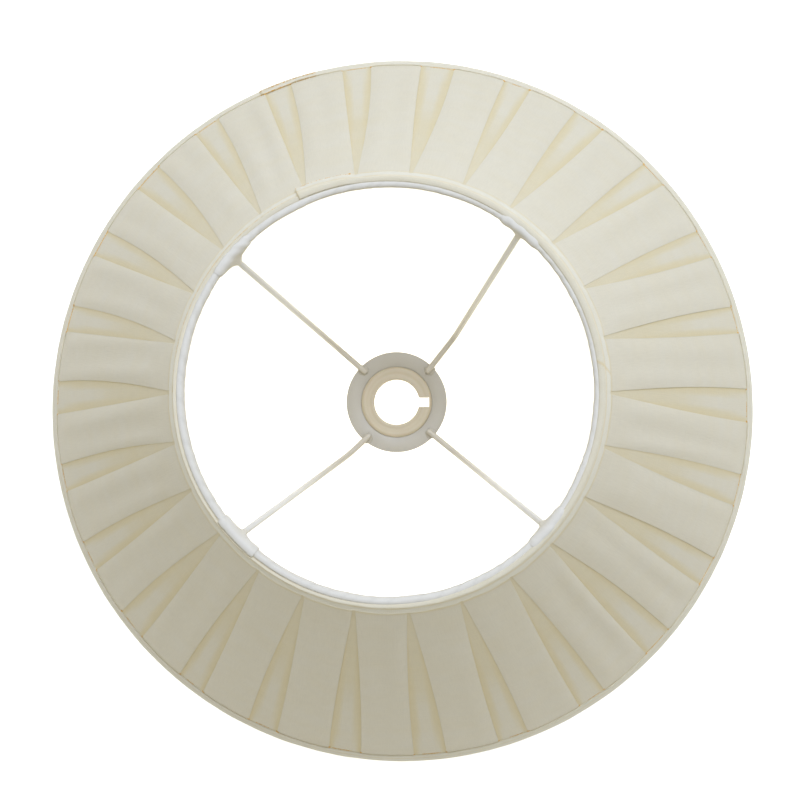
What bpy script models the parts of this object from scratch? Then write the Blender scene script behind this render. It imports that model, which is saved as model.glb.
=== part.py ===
# A box-pleated, lined lamp shade on a wire frame, with a four-arm fitter and a plastic reducer ring.
# Metres, +Z up. The origin is the middle of the circle that the lower rim stands on, and the
# reducer ring's keyway points along +X.
import math

import bmesh
import bpy
from mathutils import Vector

MM = 0.001
GAP = 0.3 * MM                       # clearance between pieces that touch

# The whole shade
SHADE_HEIGHT = 280.0 * MM
BOTTOM_OUTER_RADIUS = 250.0 * MM
TOP_RING_RADIUS = 111.5 * MM         # to the middle of the wire
ROUND = 78                           # segments in a full turn of the large pieces
ROUND_TOP = 52                       # and of the pieces that lie round the top ring
ROUND_HUB = 48                       # and of the fitter's plate and reducer

# Wires
RING_WIRE = 3.0 * MM
STRUT_WIRE = 2.5 * MM
STRUT_COUNT = 8
STRUT_START = 27.5                   # degrees, so that every strut misses the fitter arms
ARM_WIRE = 3.5 * MM

# Fitter
HUB_DROP = 160.0 * MM                # from the top ring down to the plate's upper face
PLATE_RADIUS = 32.0 * MM
PLATE_HOLE_RADIUS = 21.0 * MM
PLATE_THICKNESS = 1.2 * MM
SEAT_RADIUS = 23.4 * MM              # the plate is pressed down a little inside this radius
SEAT_DEPTH = 0.7 * MM
ARM_RING_ANGLES = (50.4, 139.3, 224.0, 319.2)
ARM_BEND_ANGLES = (48.2, 137.4, 227.9, 319.1)
ARM_TIP_ANGLES = (44.3, 136.1, 231.1, 317.6)
ARM_BEND_RADII = (55.5 * MM, 50.0 * MM, 45.1 * MM, 50.0 * MM)    # where each turns to lie flat
ARM_TIP_RADIUS = 26.9 * MM
ARM_BEND_SOFTNESS = 7.0 * MM         # how far from the corner the bend starts and ends
ARM_BEND_STEPS = 8
ARM_CLEARANCE = GAP + 0.05 * MM      # between an arm and the cloth that it passes through
ARM_CLEARANCE_BEFORE = 0.8 * MM      # the clearance starts this far above the arm's upper end
ARM_CLEARANCE_LENGTH = 14.0 * MM

# Reducer ring
LIP_RADIUS = 22.5 * MM
LIP_THICKNESS = 1.6 * MM
COLLAR_RADIUS = PLATE_HOLE_RADIUS - GAP
COLLAR_DEPTH = 6.5 * MM
LIP_CHAMFER = 0.5 * MM
BORE_RADIUS = 14.5 * MM
KEYWAY_WIDTH = 6.2 * MM
KEYWAY_REACH = 20.8 * MM             # from the axis to the keyway's end wall, past the collar

# Cloth layers, measured out from the middle of the frame's wires
LINING_THICKNESS = 0.8 * MM
LINING_OFFSET = RING_WIRE / 2 + GAP
COVER_INNER = 2.0 * MM
COVER_FLOOR = 2.8 * MM
COVER_CROWN = 4.0 * MM
LINING_END = 55.0                    # degrees round the top ring where the lining's edge lies
TRIM_INNER = 3.2 * MM
TRIM_OUTER = 4.1 * MM
TRIM_LEG = 9.0 * MM                  # how far a trim reaches along the cover
TRIM_INNER_LEG = 5.0 * MM            # how far the lower trim reaches up the lining
TOP_TRIM_END = 65.0                  # degrees round the top ring where the trim's upper edge lies
BOTTOM_TRIM_FLAT = 0.4 * MM          # depth of the flat on the trim's round underside

# Box pleats
PLEAT_COUNT = 26
GAP_SHARE_BOTTOM = 0.33              # share of a pleat's pitch that is open at the lower rim
GAP_SHARE_TOP = 0.05
PLEAT_EDGE_SHARE = 0.025
PLEAT_EDGE_LIFT = 0.75               # an edge's height as a share of its pleat's
COVER_END = 0.5 * MM                 # how far down the slope the cover's ends lie from the rings' middles
RELIEF_RAMP = 13.0 * MM              # the pleats rise from under a trim over this length

# Neateners, the strips that cover the arm ends
NEATENER_HALF_ANGLE = 6.0
NEATENER_THICKNESS = 0.8 * MM
NEATENER_LEG = 8.0 * MM
NEATENER_START = 77.0                # degrees round the top ring

# Worked out from the above
TOP_RING_HEIGHT = SHADE_HEIGHT - TRIM_OUTER * math.sin(math.radians(TOP_TRIM_END))
BOTTOM_RING_RADIUS = BOTTOM_OUTER_RADIUS - TRIM_OUTER
BOTTOM_RING_HEIGHT = TRIM_OUTER - BOTTOM_TRIM_FLAT
TOP_CENTRE = Vector((TOP_RING_RADIUS, TOP_RING_HEIGHT))
BOTTOM_CENTRE = Vector((BOTTOM_RING_RADIUS, BOTTOM_RING_HEIGHT))
SLANT = (TOP_CENTRE - BOTTOM_CENTRE).length
UP_SLOPE = (TOP_CENTRE - BOTTOM_CENTRE).normalized()
OUTWARD = Vector((UP_SLOPE.y, -UP_SLOPE.x))     # square to the slope, away from the axis
OUTWARD_ANGLE = math.degrees(math.atan2(OUTWARD.y, OUTWARD.x))
PLATE_TOP = TOP_RING_HEIGHT - HUB_DROP


def clear_scene():
    for old in list(bpy.data.objects):
        bpy.data.objects.remove(old, do_unlink=True)


def make_material(name, colour, roughness, metallic=0.0):
    material = bpy.data.materials.new(name)
    material.use_nodes = True
    shader = material.node_tree.nodes["Principled BSDF"]
    shader.inputs["Base Color"].default_value = (*colour, 1.0)
    shader.inputs["Roughness"].default_value = roughness
    shader.inputs["Metallic"].default_value = metallic
    return material


def add_object(name, data, material):
    data.materials.append(material)
    piece = bpy.data.objects.new(name, data)
    bpy.context.scene.collection.objects.link(piece)
    return piece


def finish_mesh(name, bm, material, sharp_angle=35.0):
    bmesh.ops.recalc_face_normals(bm, faces=bm.faces)
    mesh = bpy.data.meshes.new(name)
    bm.to_mesh(mesh)
    bm.free()
    mesh.shade_smooth()
    mesh.set_sharp_from_angle(angle=math.radians(sharp_angle))
    return add_object(name, mesh, material)


def slope_point(along, offset):
    """The point in the (radius, height) plane at a distance up the slope and out from the frame."""
    return BOTTOM_CENTRE + UP_SLOPE * along + OUTWARD * offset


def arc(centre, radius, start, end, count):
    """Points round a wire's centre in the (radius, height) plane; angles in degrees."""
    points = []
    for step in range(count + 1):
        angle = math.radians(start + (end - start) * step / count)
        points.append(centre + Vector((math.cos(angle), math.sin(angle))) * radius)
    return points


def turn(name, section, material, start=0.0, sweep=360.0, segments=ROUND, height=0.0):
    """A closed (radius, height) section turned about the Z axis, whole or in part."""
    bm = bmesh.new()
    first = math.radians(start)
    ring = []
    for point in section:
        ring.append(bm.verts.new((point[0] * math.cos(first), point[0] * math.sin(first),
                                  point[1] - height)))
    whole = sweep >= 360.0
    if whole:
        edges = []
        for here, after in zip(ring, ring[1:] + ring[:1]):
            edges.append(bm.edges.new((here, after)))
        bmesh.ops.spin(bm, geom=ring + edges, cent=(0, 0, 0), axis=(0, 0, 1),
                       angle=math.tau, steps=segments, use_merge=True)
        bmesh.ops.remove_doubles(bm, verts=bm.verts, dist=0.001 * MM)
    else:
        cap = bm.faces.new(ring)
        copy = bmesh.ops.duplicate(bm, geom=[cap])
        copied_face = [item for item in copy["geom"] if isinstance(item, bmesh.types.BMFace)][0]
        bmesh.ops.spin(bm, geom=[copied_face], cent=(0, 0, 0), axis=(0, 0, 1),
                       angle=math.radians(sweep), steps=segments)
        bmesh.ops.remove_doubles(bm, verts=bm.verts, dist=0.001 * MM)
    piece = finish_mesh(name, bm, material)
    piece.location.z = height
    return piece


def make_wire(name, points, diameter, material):
    """A round wire through a list of points, with flat ends."""
    curve = bpy.data.curves.new(name, "CURVE")
    curve.dimensions = "3D"
    curve.bevel_depth = diameter / 2
    curve.bevel_resolution = 2
    curve.use_fill_caps = True
    spline = curve.splines.new("POLY")
    spline.points.add(len(points) - 1)
    for place, point in zip(spline.points, points):
        place.co = (*point, 1.0)
    spline.use_smooth = True
    return add_object(name, curve, material)


def around(radius, height, angle):
    """A point in space from its radius, height and angle in degrees."""
    turned = math.radians(angle)
    return Vector((radius * math.cos(turned), radius * math.sin(turned), height))


def cut(piece, cutter):
    cutter.hide_render = True
    cutter.display_type = "WIRE"
    boolean = piece.modifiers.new("Cut " + cutter.name, "BOOLEAN")
    boolean.operation = "DIFFERENCE"
    boolean.object = cutter


def make_box(name, low, high):
    bm = bmesh.new()
    bmesh.ops.create_cube(bm, size=1.0)
    size = Vector(high) - Vector(low)
    bmesh.ops.scale(bm, vec=size, verts=bm.verts)
    bmesh.ops.translate(bm, vec=(Vector(low) + Vector(high)) / 2, verts=bm.verts)
    mesh = bpy.data.meshes.new(name)
    bm.to_mesh(mesh)
    bm.free()
    box = bpy.data.objects.new(name, mesh)
    bpy.context.scene.collection.objects.link(box)
    return box


def make_rings(enamel):
    for name, centre, segments in (("top_ring", TOP_CENTRE, ROUND_TOP),
                                   ("bottom_ring", BOTTOM_CENTRE, ROUND)):
        section = arc(centre, RING_WIRE / 2, 0.0, 315.0, 7)
        turn(name, section, enamel, segments=segments)


def make_struts(enamel):
    clear = RING_WIRE / 2 + GAP
    low = slope_point(clear, 0.0)
    high = slope_point(SLANT - clear, 0.0)
    for number in range(STRUT_COUNT):
        angle = STRUT_START + 360.0 * number / STRUT_COUNT
        points = [around(low.x, low.y, angle), around(high.x, high.y, angle)]
        make_wire("strut_%d" % (number + 1), points, STRUT_WIRE, enamel)


def arm_route(number):
    """The middle line of an arm, from the top ring to its tip on the plate."""
    lie = PLATE_TOP + GAP + ARM_WIRE / 2
    bend = around(ARM_BEND_RADII[number], lie, ARM_BEND_ANGLES[number])
    tip = around(ARM_TIP_RADIUS, lie, ARM_TIP_ANGLES[number])
    ring = around(TOP_RING_RADIUS, TOP_RING_HEIGHT, ARM_RING_ANGLES[number])
    down = (bend - ring).normalized()
    level = (tip - bend).normalized()
    start = ring + down * (RING_WIRE / 2 + 2 * GAP)
    points = [start]
    before = bend - down * ARM_BEND_SOFTNESS
    after = bend + level * ARM_BEND_SOFTNESS
    for step in range(ARM_BEND_STEPS + 1):
        share = step / ARM_BEND_STEPS
        points.append(before * (1 - share) ** 2 + bend * 2 * share * (1 - share) + after * share ** 2)
    points.append(tip)
    return points


def make_arms(enamel):
    for number in range(len(ARM_RING_ANGLES)):
        make_wire("fitter_arm_%d" % (number + 1), arm_route(number), ARM_WIRE, enamel)


def make_plate(enamel):
    low = PLATE_TOP - PLATE_THICKNESS
    section = [
        (PLATE_HOLE_RADIUS, PLATE_TOP - SEAT_DEPTH),
        (SEAT_RADIUS - SEAT_DEPTH, PLATE_TOP - SEAT_DEPTH),
        (SEAT_RADIUS, PLATE_TOP),
        (PLATE_RADIUS - GAP, PLATE_TOP),
        (PLATE_RADIUS, PLATE_TOP - GAP),
        (PLATE_RADIUS, low),
        (SEAT_RADIUS, low),
        (SEAT_RADIUS - SEAT_DEPTH, low - SEAT_DEPTH),
        (PLATE_HOLE_RADIUS, low - SEAT_DEPTH),
    ]
    turn("fitter_plate", section, enamel, segments=ROUND_HUB)


def make_reducer(plastic):
    seat = PLATE_TOP - SEAT_DEPTH + GAP
    top = seat + LIP_THICKNESS
    low = seat - COLLAR_DEPTH
    section = [
        (BORE_RADIUS, top),
        (LIP_RADIUS - LIP_CHAMFER, top),
        (LIP_RADIUS, top - LIP_CHAMFER),
        (LIP_RADIUS, seat),
        (COLLAR_RADIUS, seat),
        (COLLAR_RADIUS, low),
        (BORE_RADIUS, low),
    ]
    ring = turn("reducer_ring", section, plastic, segments=ROUND_HUB, height=PLATE_TOP)
    half = KEYWAY_WIDTH / 2
    cut(ring, make_box("keyway_cutter", (0.0, -half, low - MM), (KEYWAY_REACH, half, top + MM)))


def make_arm_clearance(number):
    """A cutter round an arm's upper end, a little wider than the wire."""
    route = arm_route(number)
    down = (route[1] - route[0]).normalized()
    cutter = make_wire("arm_clearance_%d" % (number + 1),
                       [route[0] - down * ARM_CLEARANCE_BEFORE, route[0] + down * ARM_CLEARANCE_LENGTH],
                       ARM_WIRE + 2 * ARM_CLEARANCE, bpy.data.materials["lining_cloth"])
    as_mesh = bpy.data.meshes.new_from_object(cutter.evaluated_get(
        bpy.context.evaluated_depsgraph_get()))
    name = cutter.name
    bpy.data.objects.remove(cutter, do_unlink=True)
    solid = bpy.data.objects.new(name, as_mesh)
    bpy.context.scene.collection.objects.link(solid)
    weld = bmesh.new()
    weld.from_mesh(as_mesh)
    bmesh.ops.remove_doubles(weld, verts=weld.verts, dist=0.001 * MM)
    bmesh.ops.recalc_face_normals(weld, faces=weld.faces)
    weld.to_mesh(as_mesh)
    weld.free()
    return solid


def make_lining(cloth, cutters):
    """The lining lies inside the struts and rolls over the top ring."""
    near = LINING_OFFSET
    far = LINING_OFFSET + LINING_THICKNESS
    inward = OUTWARD_ANGLE + 180.0
    section = [slope_point(0.0, -near)]
    section += arc(TOP_CENTRE, near, inward, LINING_END, 5)
    section += arc(TOP_CENTRE, far, LINING_END, inward, 5)
    section += [slope_point(0.0, -far)]
    lining = turn("lining", section, cloth)
    for cutter in cutters:
        cut(lining, cutter)


def make_neateners(cloth, cutters):
    near = LINING_OFFSET + LINING_THICKNESS + GAP
    far = near + NEATENER_THICKNESS
    inward = OUTWARD_ANGLE + 180.0
    section = arc(TOP_CENTRE, near, NEATENER_START, inward, 4)
    section += [slope_point(SLANT - NEATENER_LEG, -near), slope_point(SLANT - NEATENER_LEG, -far)]
    section += arc(TOP_CENTRE, far, inward, NEATENER_START, 4)
    for number, cutter in enumerate(cutters):
        start = ARM_RING_ANGLES[number] - NEATENER_HALF_ANGLE
        strip = turn("neatener_%d" % (number + 1), section, cloth, start=start,
                     sweep=2 * NEATENER_HALF_ANGLE, segments=4)
        cut(strip, cutter)


def relief(along):
    """How far the pleats stand up, from 0 under a trim to 1 between the trims."""
    clear_of_trim = min(along, SLANT - along) - TRIM_LEG
    return max(0.0, min(1.0, clear_of_trim / RELIEF_RAMP))


def pleat_columns(along):
    """Shares of a pleat's pitch, from one gap's middle to the next, with the cover's thickness."""
    rise = along / SLANT
    half_gap = (GAP_SHARE_BOTTOM * (1 - rise) + GAP_SHARE_TOP * rise) / 2
    crown = COVER_FLOOR + (COVER_CROWN - COVER_FLOOR) * relief(along)
    edge = COVER_FLOOR + (crown - COVER_FLOOR) * PLEAT_EDGE_LIFT
    top = half_gap + PLEAT_EDGE_SHARE
    return [(0.0, COVER_FLOOR), (half_gap, COVER_FLOOR), (top, edge), (0.5, crown),
            (1 - top, edge), (1 - half_gap, COVER_FLOOR)]


def make_cover(cloth):
    """One closed shell with a wedge-shaped valley between each pair of box pleats."""
    ends = (-COVER_END, SLANT - COVER_END)
    rows = [ends[0], TRIM_LEG, TRIM_LEG + RELIEF_RAMP,
            SLANT - TRIM_LEG - RELIEF_RAMP, SLANT - TRIM_LEG, ends[1]]
    bm = bmesh.new()
    pitch = 360.0 / PLEAT_COUNT
    loops = []
    for along in rows:
        loop = []
        for pleat in range(PLEAT_COUNT):
            for share, offset in pleat_columns(along):
                point = slope_point(along, offset)
                loop.append(bm.verts.new(around(point.x, point.y, (pleat + share) * pitch)))
        loops.append(loop)
    for along in reversed(ends):
        loop = []
        for pleat in range(PLEAT_COUNT):
            for share, _ in pleat_columns(along):
                point = slope_point(along, COVER_INNER)
                loop.append(bm.verts.new(around(point.x, point.y, (pleat + share) * pitch)))
        loops.append(loop)
    for lower, upper in zip(loops, loops[1:] + loops[:1]):
        count = len(lower)
        for column in range(count):
            following = (column + 1) % count
            bm.faces.new((lower[column], lower[following], upper[following], upper[column]))
    finish_mesh("pleated_cover", bm, cloth, sharp_angle=60.0)


def make_top_trim(cloth):
    section = [slope_point(SLANT - TRIM_LEG, TRIM_INNER)]
    section += arc(TOP_CENTRE, TRIM_INNER, OUTWARD_ANGLE, TOP_TRIM_END, 3)
    section += arc(TOP_CENTRE, TRIM_OUTER, TOP_TRIM_END, OUTWARD_ANGLE, 3)
    section += [slope_point(SLANT - TRIM_LEG, TRIM_OUTER)]
    turn("top_trim", section, cloth, segments=ROUND_TOP)


def make_bottom_trim(cloth):
    """The lower trim wraps under the ring, and its underside is flat where the shade stands."""
    inward = OUTWARD_ANGLE - 180.0
    half_flat = math.degrees(math.acos(BOTTOM_RING_HEIGHT / TRIM_OUTER))
    section = [slope_point(TRIM_LEG, TRIM_INNER)]
    section += arc(BOTTOM_CENTRE, TRIM_INNER, OUTWARD_ANGLE, inward, 5)
    section += [slope_point(TRIM_INNER_LEG, -TRIM_INNER), slope_point(TRIM_INNER_LEG, -TRIM_OUTER)]
    section += arc(BOTTOM_CENTRE, TRIM_OUTER, inward, -90.0 - half_flat, 2)
    section += arc(BOTTOM_CENTRE, TRIM_OUTER, -90.0 + half_flat, 0.0, 2)
    section += arc(BOTTOM_CENTRE, TRIM_OUTER, OUTWARD_ANGLE / 2, OUTWARD_ANGLE, 1)
    section += [slope_point(TRIM_LEG, TRIM_OUTER)]
    turn("bottom_trim", section, cloth)


def main():
    clear_scene()
    frame_enamel = make_material("frame_enamel", (0.80, 0.79, 0.74), 0.40)
    fitter_enamel = make_material("fitter_enamel", (0.50, 0.48, 0.41), 0.45)
    plastic = make_material("reducer_plastic", (0.60, 0.53, 0.38), 0.45)
    lining_cloth = make_material("lining_cloth", (0.83, 0.83, 0.81), 0.85)
    cover_cloth = make_material("cover_cloth", (0.74, 0.70, 0.56), 0.85)
    trim_cloth = make_material("trim_cloth", (0.76, 0.71, 0.55), 0.85)
    make_rings(frame_enamel)
    make_struts(frame_enamel)
    make_arms(fitter_enamel)
    make_plate(fitter_enamel)
    make_reducer(plastic)
    cutters = [make_arm_clearance(number) for number in range(len(ARM_RING_ANGLES))]
    make_lining(lining_cloth, cutters)
    make_neateners(lining_cloth, cutters)
    make_cover(cover_cloth)
    make_top_trim(trim_cloth)
    make_bottom_trim(trim_cloth)


main()
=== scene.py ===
import math
import random

import bmesh
import bpy
import numpy as np
from mathutils import Matrix, Vector


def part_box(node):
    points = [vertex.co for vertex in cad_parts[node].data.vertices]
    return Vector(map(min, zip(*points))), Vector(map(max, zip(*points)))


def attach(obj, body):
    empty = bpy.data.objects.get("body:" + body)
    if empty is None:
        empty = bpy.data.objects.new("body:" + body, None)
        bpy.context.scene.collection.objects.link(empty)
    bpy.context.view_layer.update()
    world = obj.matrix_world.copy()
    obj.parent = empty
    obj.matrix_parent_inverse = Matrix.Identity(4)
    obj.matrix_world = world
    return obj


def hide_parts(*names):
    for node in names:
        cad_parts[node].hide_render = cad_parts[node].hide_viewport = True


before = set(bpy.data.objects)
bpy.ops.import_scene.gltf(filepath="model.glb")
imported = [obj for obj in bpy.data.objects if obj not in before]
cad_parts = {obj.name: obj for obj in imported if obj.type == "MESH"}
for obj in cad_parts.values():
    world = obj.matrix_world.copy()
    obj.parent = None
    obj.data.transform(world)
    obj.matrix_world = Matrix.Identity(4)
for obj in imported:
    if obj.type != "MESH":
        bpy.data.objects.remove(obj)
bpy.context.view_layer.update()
mm = 0.001
print("frame loaded, with", len(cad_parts), "CAD nodes")


# Where the wire frame is, read from the CAD rings

def ringLine(node):
    low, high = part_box(node)
    wire = high.z - low.z
    return high.x - wire / 2, (low.z + high.z) / 2


topRadius, topHeight = ringLine("top_ring")
bottomRadius, bottomHeight = ringLine("bottom_ring")
slant = math.hypot(topRadius - bottomRadius, topHeight - bottomHeight)
upSlope = ((topRadius - bottomRadius) / slant, (topHeight - bottomHeight) / slant)
outSlope = (upSlope[1], -upSlope[0])
outAngle = math.degrees(math.atan2(outSlope[1], outSlope[0]))
inAngle = outAngle + 180
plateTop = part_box("fitter_plate")[1].z


def slopePoint(along, offset):
    # (radius, height) at a distance up the slope and out from the frame
    return (bottomRadius + upSlope[0] * along + outSlope[0] * offset,
            bottomHeight + upSlope[1] * along + outSlope[1] * offset)


def roundRing(centre, reach, angle):
    # (radius, height) at an angle round a ring's wire, in degrees, 90 being its top
    turned = np.radians(angle)
    return centre[0] + reach * np.cos(turned), centre[1] + reach * np.sin(turned)


def turned(radius, height, angle):
    # a point in space from its radius, height and angle round the shade in degrees
    swing = np.radians(angle)
    return np.stack([radius * np.cos(swing), radius * np.sin(swing), height + 0 * swing], axis=-1)


topRing = (topRadius, topHeight)
bottomRing = (bottomRadius, bottomHeight)


def smooth(value):
    value = np.clip(value, 0.0, 1.0)
    return value * value * (3 - 2 * value)


def ripple(angle, seed, lowest, highest, count=7):
    # an uneven wave round the shade, about -1 to 1, that closes on itself; angle in degrees
    draw = random.Random(seed)
    total = 0 * angle
    for _ in range(count):
        turns = draw.randint(lowest, highest)
        size = draw.uniform(0.5, 1.0)
        total = total + size * np.sin(np.radians(turns * angle) + draw.uniform(0, math.tau))
    return total / math.sqrt(count)


# Small helpers for materials, node trees and objects

def hexColour(code):
    channels = []
    for start in (0, 2, 4):
        share = int(code[start:start + 2], 16) / 255
        channels.append(share / 12.92 if share <= 0.04045 else ((share + 0.055) / 1.055) ** 2.4)
    return (*channels, 1.0)


def addNode(tree, kind, feeds=None, **settings):
    # feeds gives each input by name or number: a value, an output, or a node for its first output
    node = tree.nodes.new(kind)
    for key, value in settings.items():
        setattr(node, key, value)
    for key, value in (feeds or {}).items():
        if isinstance(value, bpy.types.Node):
            value = value.outputs[0]
        if isinstance(value, bpy.types.NodeSocket):
            tree.links.new(value, node.inputs[key])
        else:
            node.inputs[key].default_value = value
    return node


def newMaterial(name):
    material = bpy.data.materials.new(name)
    material.use_nodes = True
    tree = material.node_tree
    tree.nodes.clear()
    return material, tree


def addObject(name, data):
    item = bpy.data.objects.new(name, data)
    bpy.context.scene.collection.objects.link(item)
    return item


def bmeshToMesh(bm, name):
    mesh = bpy.data.meshes.new(name)
    bm.to_mesh(mesh)
    bm.free()
    return mesh


def axisRadius(tree, place):
    # distance from the shade's axis
    split = addNode(tree, "ShaderNodeSeparateXYZ", {0: place.outputs["Object"]})
    flat = addNode(tree, "ShaderNodeCombineXYZ", {0: split, 1: split.outputs[1]})
    radius = addNode(tree, "ShaderNodeVectorMath", {0: flat}, operation="LENGTH")
    return radius.outputs["Value"]


def clothMaterial(name, look):
    # plain-weave cotton: matt, a little see-through, with thread ridges and slubs along both threads, and
    # painted shade mixed in by the shadeAndSeam attribute
    material, tree = newMaterial(name)
    uv = addNode(tree, "ShaderNodeUVMap", uv_map="flatCloth")
    turn = addNode(tree, "ShaderNodeMapping", {
        "Vector": uv, "Rotation": (0, 0, math.radians(look["grainAngle"]))})
    split = addNode(tree, "ShaderNodeSeparateXYZ", {0: turn})
    ridges = []
    for axis in (0, 1):
        run = addNode(tree, "ShaderNodeMath", {0: split.outputs[axis], 1: math.pi / look["thread"]},
                      operation="MULTIPLY")
        ridges.append(addNode(tree, "ShaderNodeMath", {0: run}, operation="SINE"))
    weave = addNode(tree, "ShaderNodeMath", {0: ridges[0], 1: ridges[1]}, operation="MULTIPLY")
    slubs = []
    across, along = 1 / look["slubWide"], 1 / look["slubLong"]
    for stretch in ((across, along, 1), (along, across, 1)):
        pull = addNode(tree, "ShaderNodeMapping", {"Vector": turn, "Scale": stretch})
        slubs.append(addNode(tree, "ShaderNodeTexNoise", {"Vector": pull, "Scale": 1.0, "Detail": 2.0}))
    slub = addNode(tree, "ShaderNodeMath", {0: slubs[0], 1: slubs[1]}, operation="ADD")
    height = addNode(tree, "ShaderNodeMath", {0: weave, 1: look["threadShare"], 2: slub},
                     operation="MULTIPLY_ADD")
    bump = addNode(tree, "ShaderNodeBump", {
        "Strength": look["weaveStrength"], "Distance": look["weaveDepth"], "Height": height})
    place = addNode(tree, "ShaderNodeTexCoord")
    blotch = addNode(tree, "ShaderNodeTexNoise", {
        "Vector": place.outputs["Object"], "Scale": 1 / look["blotchSize"], "Detail": 3.0})
    drift = addNode(tree, "ShaderNodeMapRange", {
        "Value": blotch, "From Min": 0.3, "From Max": 0.7,
        "To Min": -look["blotch"], "To Max": look["blotch"]})
    threadShade = addNode(tree, "ShaderNodeMath", {
        0: slub, 1: look["slubShade"], 2: 1 - look["slubShade"]}, operation="MULTIPLY_ADD")
    # painted shade: where the shadeAndSeam attribute is high, and a little everywhere, the cloth is drawn in
    # its shade colour; the binding's seam line rides on it too
    shadeAndSeam = addNode(tree, "ShaderNodeAttribute", attribute_name="shadeAndSeam")
    raised = addNode(tree, "ShaderNodeMath", {0: shadeAndSeam.outputs["Fac"], 1: look["yellowing"]},
                     operation="ADD")
    depth = addNode(tree, "ShaderNodeMath", {0: raised, 1: drift}, operation="ADD", use_clamp=True)
    tint = addNode(tree, "ShaderNodeMix", {
        0: depth, 6: hexColour(look["colour"]), 7: hexColour(look["shadeAndSeamColour"])},
        data_type="RGBA")
    shade = addNode(tree, "ShaderNodeMix", {0: 1.0, 6: tint.outputs[2], 7: threadShade},
                    data_type="RGBA", blend_type="MULTIPLY")
    body = addNode(tree, "ShaderNodeBsdfPrincipled", {
        "Base Color": shade.outputs[2], "Normal": bump, "Roughness": look["roughness"],
        "Specular IOR Level": 0.25, "Sheen Weight": look["sheen"], "Sheen Roughness": 0.5})
    through = addNode(tree, "ShaderNodeBsdfTranslucent", {"Color": shade.outputs[2], "Normal": bump})
    both = addNode(tree, "ShaderNodeMixShader", {0: look["seeThrough"], 1: body, 2: through})
    addNode(tree, "ShaderNodeOutputMaterial", {"Surface": both})
    return material


def enamelMaterial(name, look):
    # stove enamel on steel wire: satin, slightly uneven, with a fine orange peel
    material, tree = newMaterial(name)
    place = addNode(tree, "ShaderNodeTexCoord")
    wear = addNode(tree, "ShaderNodeTexNoise", {
        "Vector": place.outputs["Object"], "Scale": 1 / look["patchSize"], "Detail": 4.0})
    tint = addNode(tree, "ShaderNodeMix", {
        0: wear, 6: hexColour(look["colour"]), 7: hexColour(look["patchColour"])},
        data_type="RGBA")
    # painted shade: the colour is darkest near the axis and paler further out
    if "ringwardLitColour" in look:
        away = addNode(tree, "ShaderNodeMapRange", {
            "Value": axisRadius(tree, place), "From Min": look["inside"], "From Max": look["outside"]},
            interpolation_type="SMOOTHSTEP")
        outer = addNode(tree, "ShaderNodeMix", {
            0: wear, 6: hexColour(look["ringwardLitColour"]), 7: hexColour(look["ringwardLitPatch"])},
            data_type="RGBA")
        tint = addNode(tree, "ShaderNodeMix", {
            0: away, 6: tint.outputs[2], 7: outer.outputs[2]}, data_type="RGBA")
    rough = addNode(tree, "ShaderNodeMapRange", {
        "Value": wear, "To Min": look["roughness"] - 0.08, "To Max": look["roughness"] + 0.08})
    peel = addNode(tree, "ShaderNodeTexNoise", {
        "Vector": place.outputs["Object"], "Scale": 1 / look["peelSize"], "Detail": 2.0})
    bump = addNode(tree, "ShaderNodeBump", {
        "Strength": 0.35, "Distance": look["peelDepth"], "Height": peel})
    body = addNode(tree, "ShaderNodeBsdfPrincipled", {
        "Base Color": tint.outputs[2], "Normal": bump, "Roughness": rough})
    addNode(tree, "ShaderNodeOutputMaterial", {"Surface": body})
    return material


def plasticMaterial(name, look):
    # injection-moulded polypropylene: waxy, with faint rings left by the lathe-cut mould
    material, tree = newMaterial(name)
    place = addNode(tree, "ShaderNodeTexCoord")
    turns = addNode(tree, "ShaderNodeMath", {
        0: axisRadius(tree, place), 1: math.tau / look["ringSpacing"]}, operation="MULTIPLY")
    rings = addNode(tree, "ShaderNodeMath", {0: turns}, operation="SINE")
    cloud = addNode(tree, "ShaderNodeTexNoise", {
        "Vector": place.outputs["Object"], "Scale": 1 / look["cloudSize"], "Detail": 3.0})
    blend = addNode(tree, "ShaderNodeMath", {0: rings, 1: look["ringShare"], 2: cloud},
                    operation="MULTIPLY_ADD", use_clamp=True)
    tint = addNode(tree, "ShaderNodeMix", {
        0: blend, 6: hexColour(look["colour"]), 7: hexColour(look["ringColour"])},
        data_type="RGBA")
    bump = addNode(tree, "ShaderNodeBump", {
        "Strength": 0.5, "Distance": look["ringDepth"], "Height": blend})
    body = addNode(tree, "ShaderNodeBsdfPrincipled", {
        "Base Color": tint.outputs[2], "Normal": bump, "Roughness": look["roughness"],
        "Subsurface Weight": look["milky"], "Subsurface Scale": 1.5 * mm})
    addNode(tree, "ShaderNodeOutputMaterial", {"Surface": body})
    return material


# Threads are drawn twice as coarse as the real 0.3 to 0.35 mm, so that the weave shows
plainWeave = dict(grainAngle=0, thread=0.7 * mm, slubWide=0.8 * mm, threadShare=0.25, roughness=0.88)
ivoryCotton = clothMaterial("ivoryCotton", dict(
    plainWeave, colour="F8F2DE", shadeAndSeamColour="F5E8BE", slubLong=14 * mm, weaveStrength=0.6,
    weaveDepth=0.13 * mm, blotchSize=22 * mm, blotch=0.08, yellowing=0.12, slubShade=0.08,
    sheen=0.12, seeThrough=0.2))
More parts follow.
